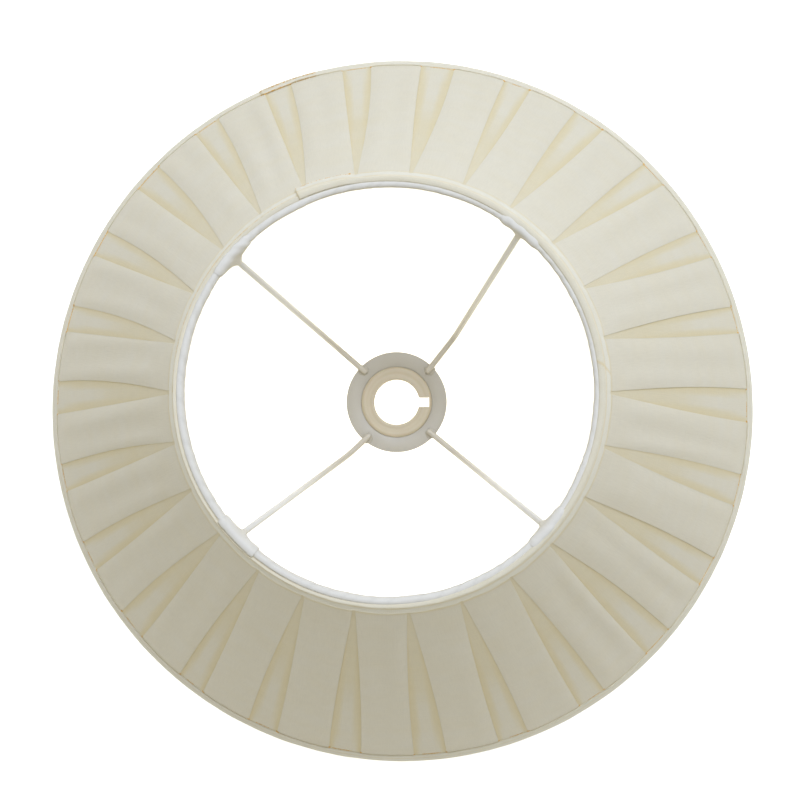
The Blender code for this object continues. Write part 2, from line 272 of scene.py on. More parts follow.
# The binding is the same cotton cut on the bias
biasCotton = clothMaterial("biasCotton", dict(
    plainWeave, colour="F3EEDB", shadeAndSeamColour="EEDFB6", grainAngle=45, slubLong=10 * mm,
    weaveStrength=0.5, weaveDepth=0.12 * mm, blotchSize=9 * mm, blotch=0.08, yellowing=0.06, slubShade=0.06,
    sheen=0.1, seeThrough=0.06))
whiteLawn = clothMaterial("whiteLawn", dict(
    plainWeave, colour="F8F4E8", shadeAndSeamColour="E6E2D5", thread=0.6 * mm, slubWide=0.7 * mm,
    slubLong=9 * mm, weaveStrength=0.4, weaveDepth=0.1 * mm, blotchSize=14 * mm, blotch=0.04, yellowing=0.03,
    slubShade=0.04, roughness=0.85, sheen=0.1, seeThrough=0.06))
whiteEnamel = enamelMaterial("whiteEnamel", dict(
    colour="E8E6DC", patchColour="DDD9CB", patchSize=18 * mm, peelSize=1.2 * mm, peelDepth=0.03 * mm,
    roughness=0.38))
putty = dict(patchSize=11 * mm, peelSize=1.4 * mm, peelDepth=0.05 * mm, roughness=0.45)
# Painted shade: the arms are drawn darker near the plate, deep inside the shade, and paler towards the ring
armEnamel = enamelMaterial("armEnamel", dict(
    putty, colour="C4BEB0", patchColour="BCB5A6", ringwardLitColour="F3F2EE", ringwardLitPatch="EEEDE8",
    inside=38 * mm, outside=92 * mm))
plateEnamel = enamelMaterial("plateEnamel", dict(putty, colour="B4AFA2", patchColour="AEA899"))
creamPolypropylene = plasticMaterial("creamPolypropylene", dict(
    colour="BEB39A", ringColour="B8AB90", ringSpacing=2.6 * mm, ringShare=0.22, cloudSize=9 * mm,
    ringDepth=0.08 * mm, roughness=0.42, milky=0.08))
# Dried hide glue where the pleats are tacked under the binding: amber and glossy
driedGlue = plasticMaterial("driedGlue", dict(
    colour="EFC774", ringColour="DFAE58", ringSpacing=1.9 * mm, ringShare=0.22, cloudSize=4 * mm,
    ringDepth=0.05 * mm, roughness=0.3, milky=0.0))
print("materials made")


# Meshes from rows of points

def gridMesh(name, points, uvs, shadeAndSeam, material, closedRound=False, closedSection=False):
    # rows and columns of quads; a closed section that isn't closed round gets its two ends capped
    rows, columns = points.shape[:2]
    faces = []
    corners = []
    columnSteps = columns if closedRound else columns - 1
    rowSteps = rows if closedSection else rows - 1
    for row in range(rowSteps):
        above = (row + 1) % rows
        for column in range(columnSteps):
            after = (column + 1) % columns
            faces.append((row * columns + column, row * columns + after,
                          above * columns + after, above * columns + column))
            corners += [uvs[row, column], uvs[row, column + 1],
                        uvs[row + 1, column + 1], uvs[row + 1, column]]
    if closedSection and not closedRound:
        for column in (0, columns - 1):
            order = range(rows) if column else range(rows - 1, -1, -1)
            faces.append([row * columns + column for row in order])
            corners += [uvs[row, column] for row in order]
    mesh = bpy.data.meshes.new(name)
    mesh.from_pydata(points.reshape(-1, 3).tolist(), [], faces)
    layer = mesh.uv_layers.new(name="flatCloth")
    layer.data.foreach_set("uv", np.array(corners, dtype=np.float32).ravel())
    depth = mesh.attributes.new("shadeAndSeam", "FLOAT", "POINT")
    depth.data.foreach_set("value", np.asarray(shadeAndSeam, dtype=np.float32).ravel())
    mesh.materials.append(material)
    mesh.shade_smooth()
    return addObject(name, mesh)


def thicken(piece, thickness):
    wall = piece.modifiers.new("Thickness", "SOLIDIFY")
    wall.thickness = thickness
    wall.offset = 0.0
    wall.use_even_offset = False
    return piece


# The cover: one long strip of cotton, folded into box pleats that open out towards the lower rim

cover = dict(
    pleats=26,
    flatPitch=81.6 * mm,         # cloth used by one pleat and one gap
    thickness=0.15 * mm,
    rows=27,
    lowRows=(0.0, 6.0, 10.5, 12.5, 14.0, 16.5, 20.0),    # mm in from the ends, round the bindings' edges
    topRows=(0.0, 5.0, 8.0, 9.5, 11.0, 13.5, 17.0),
    gapBottom=5.1,               # degrees open at the lower rim
    gapTop=0.35,
    gapUneven=0.55,
    bottomLean=(-0.75, 1.75, 55),     # mean, swing and direction of how far the gaps stray, in degrees
    topLean=(-0.2, 1.9, 100),
    strayBottom=0.3,
    strayTop=0.5,
    floor=2.92 * mm,             # heights out from the frame
    underTrim=3.26 * mm,
    layer=0.17 * mm,             # a pleat's under layer lies this far above the gap's floor
    edgeRise=0.06 * mm,
    crown=1.5 * mm,
    valley=(0.5 * mm, 1.9 * mm),
    foldBulge=0.3 * mm,
    riseLow=32 * mm,             # the pleats rise from the lower binding over this length
    riseHigh=60 * mm,
    bindingShadowTop=9 * mm,            # painted shadow: the cloth is drawn yellower just beyond the bindings' edges, which lie this far in
    bindingShadowLow=12 * mm,
    seed=11,
)
# where the columns stand across a pleat's face, closest at its edges
topShares = (0.0, 0.006, 0.028, 0.07, 0.14, 0.23, 0.33, 0.44,
             0.56, 0.67, 0.77, 0.86, 0.93, 0.972, 0.994, 1.0)


def strayed(middle, lean, stray, draw):
    mean, swing, facing = lean
    return middle + mean + swing * math.cos(math.radians(middle - facing)) + draw.uniform(-1, 1) * stray


def planPleats():
    draw = random.Random(cover["seed"])
    gaps = []
    for number in range(cover["pleats"]):
        middle = 360.0 * number / cover["pleats"]
        low = strayed(middle, cover["bottomLean"], cover["strayBottom"], draw)
        high = strayed(middle, cover["topLean"], cover["strayTop"], draw)
        half = (cover["gapBottom"] + draw.uniform(-1, 1) * cover["gapUneven"]) / 2
        lean = (high - low) / half
        gaps.append(dict(
            low=low, high=high, half=half,
            leftBow=2.9 + 0.6 * lean + draw.uniform(-0.3, 0.3),
            rightBow=2.9 - 0.6 * lean + draw.uniform(-0.3, 0.3),
            valley=draw.uniform(*cover["valley"]), valleyAt=draw.uniform(0.38, 0.62),
            valleyWide=draw.uniform(0.13, 0.26), valleyDrift=draw.uniform(-0.14, 0.14),
            lift=draw.uniform(0.75, 1.15), tilt=draw.uniform(-0.5, 0.5) * mm,
            phase=draw.uniform(0, math.tau), drape=draw.uniform(0.25, 0.6) * mm))
    return gaps


def gapSides(gap, rise):
    return gapEdge(gap, -1, rise), gapEdge(gap, 1, rise)


def gapEdge(gap, side, rise):
    # the angle of a gap's left (-1) or right (1) edge at a share of the height
    bow = gap["leftBow"] if side < 0 else gap["rightBow"]
    top = gap["high"] + side * cover["gapTop"] / 2
    bottom = gap["low"] + side * gap["half"]
    return top + (bottom - top) * (1 - rise ** max(bow, 1.15))


def halfGap(gap, side, rise, relief, radius, turnBack):
    # (angle, height, painted shade) from the gap's middle, under the pleat and back out round its edge
    edge = gapEdge(gap, side, rise)
    middle = sum(gapSides(gap, rise)) / 2
    perMetre = side * 180 / (math.pi * radius)
    floor = cover["floor"]
    back = floor + cover["layer"] + 0.01 * mm * relief
    edgeTop = cover["underTrim"] + cover["edgeRise"] * relief * gap["lift"]
    pale = max(0.0, 0.62 * gap["half"] * (1 - rise / 0.6)) * math.pi * radius / 180
    reach = abs(edge - middle) * math.pi * radius / 180
    section = []
    # painted shade: the gap floor is drawn yellower towards the pleats' edges and over its upper part, pale
    # in its lower middle
    for share in (0.0, 0.3, 0.6, 0.85, 1.0):
        nearEdge = float(smooth((share * reach - pale) / ((2.4 + 2.2 * rise) * mm)))
        shadeAndSeam = max(nearEdge * (0.4 + 0.5 * share), 0.55 * float(smooth((rise - 0.3) / 0.35)), 0.02)
        section.append((middle + (edge - middle) * share, floor, shadeAndSeam))
    section.append((edge + turnBack * perMetre, floor, 1.0))
    fold = (back - floor) / 2
    section.append((edge + (turnBack + fold) * perMetre, floor + fold, 1.0))
    section.append((edge + turnBack * perMetre, back, 1.0))
    # the fold: half a round from the under layer up to the pleat's face
    centre = (back + edgeTop) / 2
    half = (edgeTop - back) / 2
    bulge = min(cover["foldBulge"], half * 1.1)
    section.append((edge + 0.3 * mm * perMetre, centre - half, 1.0))
    for turn in (30, 62, 90, 118, 150):
        swing = math.radians(turn)
        # painted shade on the fold's underside and a painted highlight over its top
        shade = 0.7 * (1 - turn / 150) ** 1.5 - 0.25 * math.sin(swing) ** 4
        section.append((edge - bulge * (math.sin(swing) - 0.5) * perMetre,
                        centre - half * math.cos(swing), shade))
    return section


def coverRow(gaps, along):
    rise = along / slant
    relief = float(smooth(along / cover["riseLow"] - 0.35)
                   * smooth((slant - along) / cover["riseHigh"] - 0.12))
    radius = slopePoint(along, cover["underTrim"])[0]
    row = []
    flatLine = []
    for number, gap in enumerate(gaps):
        follow = gaps[(number + 1) % len(gaps)]
        wrap = 360.0 if number + 1 == len(gaps) else 0.0
        start = gapEdge(gap, 1, rise)
        end = gapEdge(follow, -1, rise) + wrap
        wide = math.radians(end - start) * radius
        pitch = math.tau * radius / len(gaps)
        turnBack = min((cover["flatPitch"] - pitch) / 4 - 0.8 * mm, 0.47 * wide)
        section = halfGap(gap, 1, rise, relief, radius, turnBack)
        low = cover["underTrim"] + cover["edgeRise"] * relief * gap["lift"]
        high = cover["underTrim"] + cover["edgeRise"] * relief * follow["lift"]
        for share in topShares:
            dome = 1 - abs(2 * share - 1) ** 3
            at = gap["valleyAt"] + gap["valleyDrift"] * (rise - 0.5)
            dip = gap["valley"] * math.exp(-((share - at) / gap["valleyWide"]) ** 2)
            drape = gap["drape"] * math.sin(7 * share + 5 * rise + gap["phase"]) * dome
            height = low + (high - low) * share
            height += relief * (cover["crown"] * dome - dip * dome + drape + gap["tilt"] * (share - 0.5))
            height = max(height, cover["underTrim"] + 0.15 * mm * dome)
            # painted highlight: the pleat's face is drawn lighter right at its edges
            edgeShade = -0.22 * math.exp(-min(share, 1 - share) / 0.035)
            section.append((start + (end - start) * share, height, edgeShade))
        back = halfGap(follow, -1, rise, relief, radius, turnBack)[:0:-1]
        section += [(angle + wrap, height, shadeAndSeam) for angle, height, shadeAndSeam in back]
        spots = np.array([(math.radians(angle) * radius, height) for angle, height, _ in section])
        nextMiddle = sum(gapSides(follow, rise)) / 2 + wrap
        following = np.array([math.radians(nextMiddle) * radius, cover["floor"]])
        steps = np.hypot(*np.diff(np.vstack([spots, following]), axis=0).T)
        share = np.concatenate([[0.0], np.cumsum(steps)[:-1]]) / steps.sum()
        flatLine += [(number + part) * cover["flatPitch"] for part in share]
        row += section
    flatLine.append(len(gaps) * cover["flatPitch"])
    return row, flatLine


def makeCover():
    gaps = planPleats()
    points = []
    uvs = []
    shadeAndSeams = []
    low = [one * mm for one in cover["lowRows"]]
    high = [slant - one * mm for one in reversed(cover["topRows"])]
    middle = [low[-1] + (high[0] - low[-1]) * step / cover["rows"] for step in range(1, cover["rows"])]
    for along in low + middle + high:
        row, flatLine = coverRow(gaps, along)
        angle, height, shadeAndSeam = np.array(row).T
        radius, level = slopePoint(along, height)
        points.append(turned(radius, level, angle))
        uvs.append([(flat, along) for flat in flatLine])
        # painted shadow lines along the bindings' edges
        topBindingShadow = smooth(1 - (slant - along - cover["bindingShadowTop"]) / (4.5 * mm)) * 0.8
        lowBindingShadow = smooth(1 - (along - cover["bindingShadowLow"]) / (2.5 * mm)) * 0.4
        shadeAndSeams.append(np.maximum(shadeAndSeam, max(topBindingShadow, lowBindingShadow)))
    piece = gridMesh("pleatedCover", np.array(points), np.array(uvs), shadeAndSeams, ivoryCotton,
                     closedRound=True)
    return thicken(piece, cover["thickness"]), gaps


pleatedCover, gapPlan = makeCover()
print("pleated cover made:", len(pleatedCover.data.polygons), "faces")


# The lining: white lawn inside the struts, turned over the top ring

lining = dict(offset=2.15 * mm, thickness=0.35 * mm, end=26, columns=480, slopeRows=22, ringRows=12,
              gather=0.6 * mm, roll=0.45 * mm, tuck=0.2 * mm,
              fuller=0.95 * mm, fullerFacing=206)


def makeLining():
    angle = np.linspace(0, 360, lining["columns"], endpoint=False)
    rows = []
    for step in range(lining["slopeRows"]):
        share = step / lining["slopeRows"]
        along = slant * share
        inward = lining["gather"] * math.sin(math.pi * share) * (0.5 + 0.5 * ripple(angle, 3, 20, 60))
        inward = np.clip(inward, 0, None)
        radius, level = slopePoint(along, -lining["offset"] - inward)
        rows.append((turned(radius, level, angle), along, 0.0 * angle))
    for step in range(lining["ringRows"] + 1):
        share = step / lining["ringRows"]
        place = inAngle + (lining["end"] - inAngle) * share
        run = slant + math.radians(inAngle - place) * lining["offset"]
        tucks = ripple(angle + 4 * share, 5, 60, 150, 12)
        swell = lining["roll"] * (0.4 + 0.6 * ripple(angle, 6, 5, 24)) + lining["tuck"] * tucks
        reach = lining["offset"] + np.clip(swell, 0, None) * math.sin(math.pi * min(1, share / 0.72))
        # the roll is fuller where the binding stops short of the ring's top
        side = np.clip(np.cos(np.radians(angle - lining["fullerFacing"])), 0, None)
        fuller = lining["fuller"] * side
        reach = reach + fuller * smooth((share - 0.35) / 0.3) * smooth((0.95 - share) / 0.1)
        radius, level = roundRing(topRing, reach, place)
        # painted shade: the lining is drawn greyer in the hollows between its tucks
        rows.append((turned(radius, level, angle), run, 0.35 * np.clip(-tucks, 0, 1)))
    points = np.array([row[0] for row in rows])
    shadeAndSeams = np.array([row[2] for row in rows])
    flatAngle = np.radians(np.append(angle, 360.0)) * (topRadius + bottomRadius) / 2
    uvs = np.array([[(flat, row[1]) for flat in flatAngle] for row in rows])
    piece = gridMesh("liningCloth", points, uvs, shadeAndSeams, whiteLawn, closedRound=True)
    return thicken(piece, lining["thickness"])


liningPiece = makeLining()
print("lining made")


# The bindings: bias strips whose laps face the same way

topBinding = dict(lapAt=115.0, lap=13.0, columns=840, inner=3.5 * mm, rise=0.55 * mm, base=0.35 * mm,
                  leg=9 * mm, lift=0.8 * mm, slip=4.5 * mm, wander=0.35 * mm, dip=0.3 * mm,
                  tuckIn=1.28 * mm, end=64, endSwing=29, endFacing=26,
                  seamAt=4.2, seamSlant=3.9)     # the strip's slanting join
lowBinding = dict(lapAt=114.0, lap=8.0, columns=900, inner=3.5 * mm, rise=0.45 * mm, base=0.35 * mm,
                  leg=12 * mm, lift=0.5 * mm, slip=1.2 * mm, wander=0.3 * mm, dip=0.62 * mm,
                  tuckIn=0.9 * mm, innerLeg=5 * mm)


def bindingPath(binding, lower):
    # the strip's run across its width: (kind, place, side) of each step, side 1 being outside
    path = []
    for step in range(13):
        away = binding["leg"] * (1 - step / 12)
        path.append(("slope", away if lower else slant - away, 1))
    if lower:
        path += [("ring", outAngle - (180 * step / 14), 1) for step in range(1, 15)]
        path += [("slope", binding["innerLeg"] * step / 3, -1) for step in range(1, 4)]
    else:
        path += [("roll", step / 8, 1) for step in range(1, 9)]
    return path


def gapCover(angle, rise):
    # 1 where a gap lies under the binding's edge, 0 over the pleats
    found = 0 * angle
    for gap in gapPlan:
        left, right = gapSides(gap, rise)
        away = np.abs((angle - (left + right) / 2 + 180) % 360 - 180)
        found = np.maximum(found, smooth(((right - left) / 2 - away) / 0.5 + 0.6))
    return found


def placeOn(path, offset, slip, endAngle):
    kind, value, side = path
    if kind == "slope":
        return slopePoint(value + slip * side, side * offset)
    if kind == "roll":
        return roundRing(topRing, offset, outAngle + (endAngle - outAngle) * value)
    return roundRing(bottomRing, offset, value)


def makeBinding(name, binding, lower):
    # a closed strip with its outer rows first, then its inner rows back again
    path = bindingPath(binding, lower)
    angle = np.linspace(binding["lapAt"] - binding["lap"], binding["lapAt"] + 360.0, binding["columns"])
    togo = binding["lapAt"] + 360.0 - angle     # degrees still to go to the free end
    onTop = smooth((binding["lap"] + 4 - togo) / 5)
    slipped = smooth((binding["lap"] + 5 - togo) / (binding["lap"] + 5)) * binding["slip"]
    wander = binding["wander"] * ripple(angle, 21 if lower else 22, 9, 40)
    endAngle = 0.0
    if not lower:
        away = np.radians(angle - binding["endFacing"])
        endAngle = binding["end"] + binding["endSwing"] * np.cos(away)
    edgeAlong = binding["leg"] if lower else slant - binding["leg"]
    dip = binding["dip"] * gapCover(angle, edgeAlong / slant)
    outer = []
    inner = []
    lengths = [0.0]
    last = None
    for number, place in enumerate(path):
        share = number / (len(path) - 1)
        if lower:
            bulge = 0.55
            if share < 0.35:
                bulge = abs(math.sin(math.pi * min(max(share, 0.02), 0.34) / 0.18)) ** 0.6
            edge = max(0, 1 - number / 4)
            tuckIn = binding["tuckIn"] * float(smooth((share - 0.55) / 0.2))
        else:
            groove = 0.52
            part = share / groove if share < groove else (share - groove) / (1 - groove)
            bulge = math.sin(math.pi * min(max(part, 0.0), 1.0)) ** 0.7 if 0 < part < 1 else 0.0
            edge = max(0, 1 - number / 5)
            tuckIn = binding["tuckIn"] * float(smooth((share - 0.62) / 0.38))
        slip = (wander * edge - slipped * (1 if place[0] == "slope" else 0)) * (1 if not lower else -1)
        lift = binding["lift"] * onTop
        uneven = 0.08 * mm * ripple(angle + 20 * share, 31, 30, 90)
        hug = lift - dip * float(smooth(1 - number / 8)) - tuckIn
        reachOut = binding["inner"] + binding["base"] + binding["rise"] * bulge + hug + uneven
        reachIn = binding["inner"] + hug
        for side, reach in ((outer, reachOut), (inner, reachIn)):
            radius, level = placeOn(place, reach, slip, endAngle)
            if lower:
                level = np.maximum(level, 0.0 if side is outer else 0.4 * mm)
            side.append(turned(radius, level, angle))
        if last is not None:
            lengths.append(lengths[-1] + float(np.linalg.norm(outer[-1][0] - last)))
        last = outer[-1][0]
    rows = outer + inner[::-1]
    lengthsRound = lengths + lengths[::-1] + [lengths[0]]
    shadeAndSeams = []
    count = len(path)
    for number in range(2 * count):
        share = (number if number < count else 2 * count - 1 - number) / (count - 1)
        # painted shade: lines at the binding's edge and in its groove, and the top binding's inner strip
        # drawn yellower; the seam is the strip's own join; the lap's free end is drawn darker
        if lower:
            shade = 0.3 * math.exp(-share / 0.03) + 0.5 * math.exp(-((share - 0.18) / 0.025) ** 2)
        else:
            shade = 0.75 * math.exp(-((share - 0.52) / 0.05) ** 2) + 0.3 * smooth((share - 0.5) / 0.2)
            shade += 0.3 * math.exp(-share / 0.04)
            seam = binding["seamAt"] + binding["seamSlant"] * share + 360
            shade = shade + 0.9 * np.exp(-((angle - seam) / 0.4) ** 2)
        line = shade + 0.75 * smooth(1 - togo / 0.6) + 0 * angle
        shadeAndSeams.append(np.clip(line, 0, 1))
    flatAngle = np.radians(angle) * (bottomRadius if lower else topRadius)
    flatAngle = np.append(flatAngle, flatAngle[-1])
    uvs = np.array([[(flat, across) for flat in flatAngle] for across in lengthsRound])
    piece = gridMesh(name, np.array(rows), uvs, shadeAndSeams, biasCotton, closedSection=True)
    fixNormals(piece)
    return piece, lengths[-1]


def fixNormals(piece):
    bm = bmesh.new()
    bm.from_mesh(piece.data)
    bmesh.ops.recalc_face_normals(bm, faces=bm.faces)
    bm.to_mesh(piece.data)
    bm.free()


topTrim, topTrimWidth = makeBinding("topBinding", topBinding, False)
bottomTrim, bottomTrimWidth = makeBinding("bottomBinding", lowBinding, True)
print("bindings made, %.1f and %.1f mm across" % (topTrimWidth / mm, bottomTrimWidth / mm))


# The fitter: four bent arms, the plate they are welded to and the reducer ring in it

arms = dict(wire=3.5 * mm, gap=0.3 * mm, ringAngles=(50.4, 139.3, 224.0, 319.2),
            bendAngles=(48.2, 137.4, 227.9, 319.1), bendRadii=(55.5 * mm, 50.0 * mm, 45.1 * mm, 50.0 * mm),
            tipAngles=(44.3, 136.1, 231.1, 317.6), tipRadius=26.9 * mm,
            bendSoftness=7.0 * mm, ringWire=3.0 * mm, sides=20)
weld = dict(outward=2.6 * mm, size=(3.6 * mm, 3.4 * mm, 0.9 * mm), sunk=0.4 * mm)


def armRoute(number):
    lie = plateTop + arms["gap"] + arms["wire"] / 2
    bend = Vector(turned(arms["bendRadii"][number], lie, arms["bendAngles"][number]))
    tip = Vector(turned(arms["tipRadius"], lie, arms["tipAngles"][number]))
    ring = Vector(turned(topRadius, topHeight, arms["ringAngles"][number]))
    down = (bend - ring).normalized()
    level = (tip - bend).normalized()
    start = ring + down * (arms["ringWire"] / 2 + 2 * arms["gap"])
    before = bend - down * arms["bendSoftness"]
    after = bend + level * arms["bendSoftness"]
    route = [start + (before - start) * share / 12 for share in range(12)]
    for step in range(15):
        share = step / 14
        route.append(before * (1 - share) ** 2 + bend * 2 * share * (1 - share) + after * share ** 2)
    route += [after + (tip - after) * share / 5 for share in range(1, 6)]
    return route


def newTree(name, inputs):
    # a Geometry Nodes tree with its named inputs, each given with its kind of socket
    tree = bpy.data.node_groups.new(name, "GeometryNodeTree")
    for label, kind in inputs.items():
        tree.interface.new_socket(label, in_out="INPUT", socket_type="NodeSocket" + kind)
    tree.interface.new_socket("Result", in_out="OUTPUT", socket_type="NodeSocketGeometry")
    return tree, addNode(tree, "NodeGroupInput")


def endTree(tree, given, shape):
    # smooth and real geometry in its own material
    soft = addNode(tree, "GeometryNodeSetShadeSmooth", {0: shape})
    real = addNode(tree, "GeometryNodeRealizeInstances", {0: soft})
    painted = addNode(tree, "GeometryNodeSetMaterial", {
        "Geometry": real, "Material": given.outputs["Finish"]})
    addNode(tree, "NodeGroupOutput", {0: painted})
    return tree


def wireTree():
    # a round wire along a line of points, with rounded-over ends
    tree, given = newTree("wireAlongLine", {
        "Line": "Geometry", "Wire Radius": "Float", "Sides": "Int", "Finish": "Material"})
    curve = addNode(tree, "GeometryNodeMeshToCurve", {"Mesh": given.outputs["Line"]})
    along = addNode(tree, "GeometryNodeSplineParameter")
    away = addNode(tree, "ShaderNodeMath", {0: along.outputs["Factor"], 1: 0.5}, operation="SUBTRACT")
    far = addNode(tree, "ShaderNodeMath", {0: away}, operation="ABSOLUTE")
    ends = addNode(tree, "ShaderNodeMapRange", {
        "Value": far, "From Min": 0.497, "From Max": 0.5, "To Min": 1.0, "To Max": 0.75},
        interpolation_type="SMOOTHSTEP")
    finer = addNode(tree, "GeometryNodeResampleCurve", {"Curve": curve, "Count": 160})
    rounded = addNode(tree, "GeometryNodeSetCurveRadius", {"Curve": finer, "Radius": ends})
    section = addNode(tree, "GeometryNodeCurvePrimitiveCircle", {
        "Resolution": given.outputs["Sides"], "Radius": given.outputs["Wire Radius"]})
    wire = addNode(tree, "GeometryNodeCurveToMesh", {
        "Curve": rounded, "Profile Curve": section, "Scale": ends, "Fill Caps": True})
    return endTree(tree, given, wire)


def runTree(name, source, tree, values):
    # a Geometry Nodes result as a plain mesh object
    modifier = source.modifiers.new("Nodes", "NODES")
    modifier.node_group = tree
    for item in tree.interface.items_tree:
        if item.in_out == "INPUT" and item.name in values:
            modifier[item.identifier] = values[item.name]
    bpy.context.view_layer.update()
    done = source.evaluated_get(bpy.context.evaluated_depsgraph_get())
    mesh = bpy.data.meshes.new_from_object(done)
    mesh.name = name
    bpy.data.objects.remove(source, do_unlink=True)
    return addObject(name, mesh)


def lineObject(name, points, joined=True):
    mesh = bpy.data.meshes.new(name)
    edges = [(step, step + 1) for step in range(len(points) - 1)] if joined else []
    mesh.from_pydata([tuple(point) for point in points], edges, [])
    return addObject(name, mesh)


def weldBead(name, number):
    # a low mound of weld that holds an arm's tip to the plate
    middle = Vector(turned(arms["tipRadius"] + weld["outward"], plateTop, arms["tipAngles"][number]))
    swing = math.radians(arms["tipAngles"][number])
    bm = bmesh.new()
    bmesh.ops.create_uvsphere(bm, u_segments=28, v_segments=14, radius=1.0)
    for vert in bm.verts:
        lump = 1 + 0.10 * math.sin(5 * vert.co.x + number) * math.cos(4 * vert.co.y + 2 * number)
        long, wide, tall = weld["size"]
        vert.co = Vector((vert.co.x * long, vert.co.y * wide, vert.co.z * tall)) * lump
        vert.co.z = max(vert.co.z, -weld["sunk"])
    bm.transform(Matrix.Translation(middle) @ Matrix.Rotation(swing, 4, "Z"))
    mesh = bmeshToMesh(bm, name)
    mesh.shade_smooth()
    mesh.materials.append(plateEnamel)
    return addObject(name, mesh)


wireNodes = wireTree()
armPieces = []
beadPieces = []
for number in range(4):
    source = lineObject("armLine", armRoute(number))
    armPieces.append(runTree("fitterArm%d" % (number + 1), source, wireNodes, {
        "Wire Radius": arms["wire"] / 2, "Sides": arms["sides"], "Finish": armEnamel}))
    beadPieces.append(weldBead("weldBead%d" % (number + 1), number))
print("fitter arms made")


def latheMesh(name, section, material, segments=144):
    # a closed (radius, height) section turned round the axis
    bm = bmesh.new()
    columns = []
    for step in range(segments):
        swing = math.tau * step / segments
        columns.append([bm.verts.new((radius * math.cos(swing), radius * math.sin(swing), level))
                        for radius, level in section])
    for here, after in zip(columns, columns[1:] + columns[:1]):
        for low in range(len(section)):
            high = (low + 1) % len(section)
            bm.faces.new((here[low], after[low], after[high], here[high]))
    bmesh.ops.recalc_face_normals(bm, faces=bm.faces)
    mesh = bmeshToMesh(bm, name)
    mesh.materials.append(material)
    return addObject(name, mesh)


def easeEdges(piece, width):
    edge = piece.modifiers.new("Eased edges", "BEVEL")
    edge.width = width
    edge.segments = 3
    edge.limit_method = "ANGLE"
    edge.angle_limit = math.radians(30)
    piece.data.shade_smooth()
    return piece


reducer = dict(lip=22.5 * mm, lipThick=1.3 * mm, collar=20.7 * mm, depth=6.5 * mm, bore=14.5 * mm,
               keyWide=6.2 * mm, keyReach=20.8 * mm, gap=0.3 * mm, ease=0.16 * mm)
plate = dict(hole=21.0 * mm, radius=32.0 * mm, thickness=1.2 * mm, seat=23.4 * mm, seatDepth=0.7 * mm,
             lipGap=0.04 * mm, ease=0.08 * mm)


def makePlate():
    top = plateTop
    low = top - plate["thickness"]
    deep = plate["seatDepth"]
    wall = reducer["lip"] + plate["lipGap"]
    section = [(plate["hole"], top - deep), (wall, top - deep), (wall + 0.06 * mm, top - 0.1 * mm),
               (wall + 0.3 * mm, top), (plate["radius"], top), (plate["radius"], low),
               (plate["seat"], low), (plate["seat"] - deep, low - deep), (plate["hole"], low - deep)]
    return easeEdges(latheMesh("fitterPlate", section, plateEnamel), plate["ease"])


def makeReducer():
    seat = plateTop - plate["seatDepth"] + reducer["gap"]
    top = seat + reducer["lipThick"]
    low = seat - reducer["depth"]
    bore, lip, collar = reducer["bore"], reducer["lip"], reducer["collar"]
    # a raised rim, a shallow dish and a bead round the bore, as a moulded washer has
    section = [(bore, top - 0.15 * mm), (bore + 0.5 * mm, top), (bore + 1.6 * mm, top),
               (bore + 2.1 * mm, top - 0.08 * mm), (lip - 3.4 * mm, top - 0.08 * mm),
               (lip - 2.9 * mm, top), (lip - 1.4 * mm, top), (lip - 0.4 * mm, top - 0.25 * mm),
               (lip, top - 0.6 * mm), (lip, seat), (collar, seat), (collar, low + 0.4 * mm),
               (collar - 0.4 * mm, low), (bore + 0.3 * mm, low), (bore, low + 0.3 * mm)]
    ring = latheMesh("reducerRing", section, creamPolypropylene)
    bm = bmesh.new()
    bmesh.ops.create_cube(bm, size=1.0)
    bmesh.ops.scale(bm, vec=(reducer["keyReach"], reducer["keyWide"], 12 * mm), verts=bm.verts)
    bmesh.ops.translate(bm, vec=(reducer["keyReach"] / 2, 0, seat - 2 * mm), verts=bm.verts)
    cutter = addObject("keyway", bmeshToMesh(bm, "keyway"))
    slotCut = ring.modifiers.new("Keyway", "BOOLEAN")
    slotCut.operation = "DIFFERENCE"
    slotCut.solver = "EXACT"
    slotCut.object = cutter
    bpy.context.view_layer.update()
    done = bpy.data.meshes.new_from_object(ring.evaluated_get(bpy.context.evaluated_depsgraph_get()))
    ring.modifiers.remove(slotCut)
    ring.data = done
    bpy.data.objects.remove(cutter, do_unlink=True)
    return easeEdges(ring, reducer["ease"])


platePiece = makePlate()
reducerPiece = makeReducer()
print("plate and reducer made")


# The neateners: strips of lawn folded over the ring and round each arm's upper end

neatener = dict(half=6.6, columns=45, low=2.55 * mm, puff=0.45 * mm, thickness=0.3 * mm, start=50,
                leg=12 * mm, flush=0.3 * mm, over=(0.0, 0.3, 1.15, 0.3),
                endLift=((0.1, 0.4), (0.1, 0.1), (0.7, 0.7), (0.2, 0.3)),
                flareWide=(2.1, 3.6, 2.2, 3.0),      # degrees, for each arm in turn
                flareReach=(6.8 * mm, 8.8 * mm, 7 * mm, 7.5 * mm),
                armStart=1.2 * mm, armGap=0.45 * mm, narrowing=0.62)


